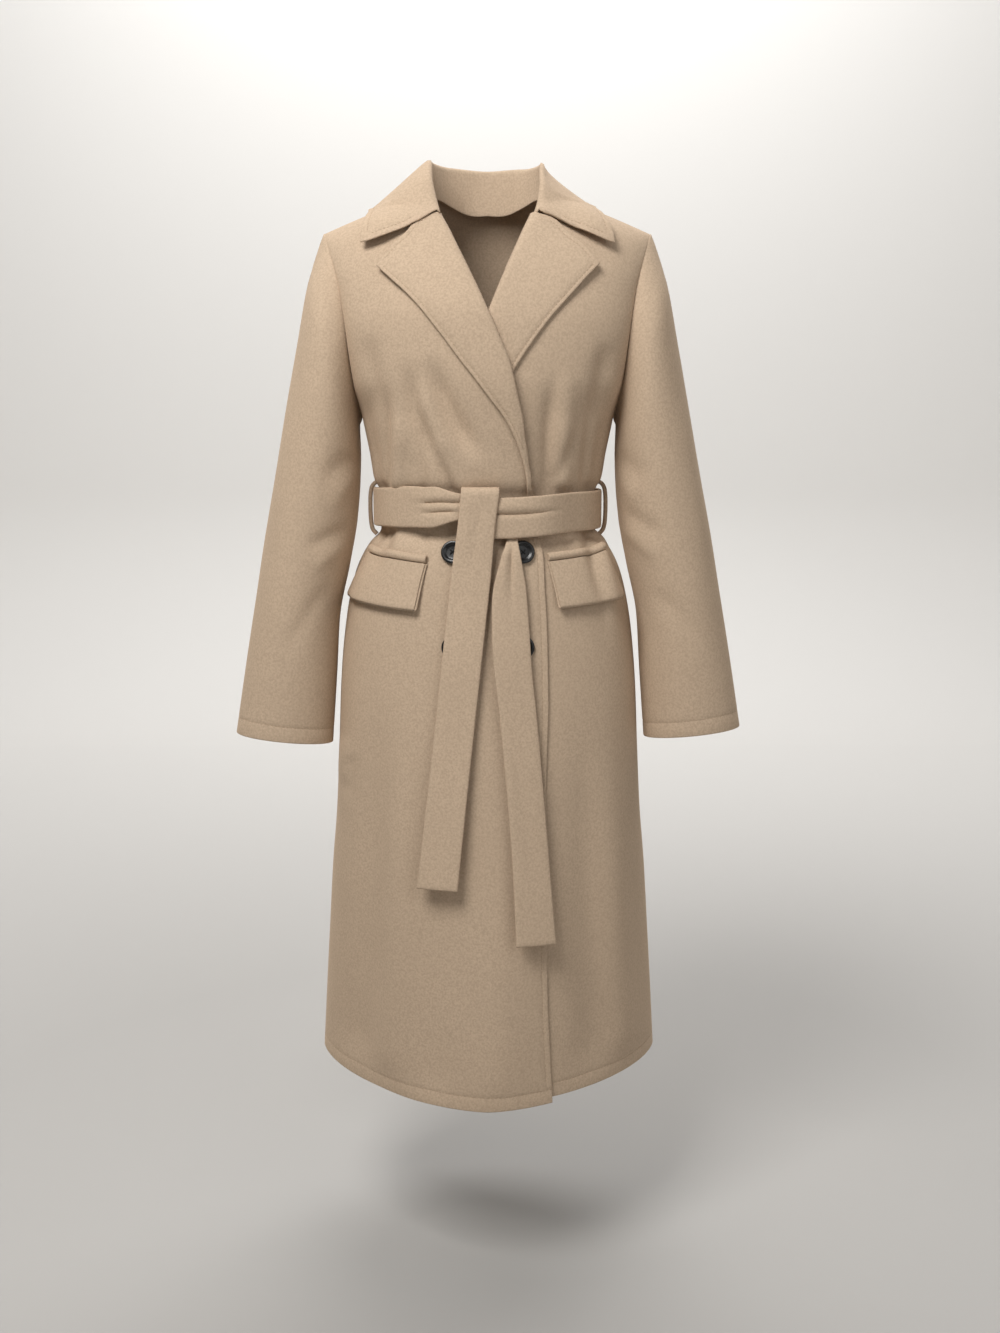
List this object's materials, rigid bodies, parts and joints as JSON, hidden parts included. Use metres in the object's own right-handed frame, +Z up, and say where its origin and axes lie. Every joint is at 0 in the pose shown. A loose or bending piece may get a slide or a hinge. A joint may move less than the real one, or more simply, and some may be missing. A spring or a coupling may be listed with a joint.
{
  "type": "double-breasted coat",
  "caption": "Long beige wool coat with notched collar, wide lapels, flap pockets, dark buttons and a tied cloth belt.",
  "frame": {"origin": "midway between the points where the shoulder seams meet the neck, where the coat hangs on the shoulders", "axes": "+Z up, front of the coat towards -Y, +X towards the wearer's left"},
  "size_m": [0.6374, 0.3642, 1.1331],
  "materials": {
    "wool": "brushed wool, soft nap",
    "button": "satin gloss"
  },
  "bodies": {
    "root": {"front_right": "wool", "front_left": "wool", "back": "wool", "sleeve_right": "wool", "sleeve_left": "wool", "collar": "wool", "lapel_right": "wool", "lapel_left": "wool", "pocket_flap_right": "wool", "pocket_flap_left": "wool", "pocket_welt_right": "wool", "pocket_welt_left": "wool", "belt_band": "wool", "belt_end_over": "wool", "belt_end_under": "wool", "belt_loop_right": "wool", "belt_loop_left": "wool", "button_1": "button", "button_2": "button", "button_3": "button", "button_4": "button"}
  },
  "joints": []
}
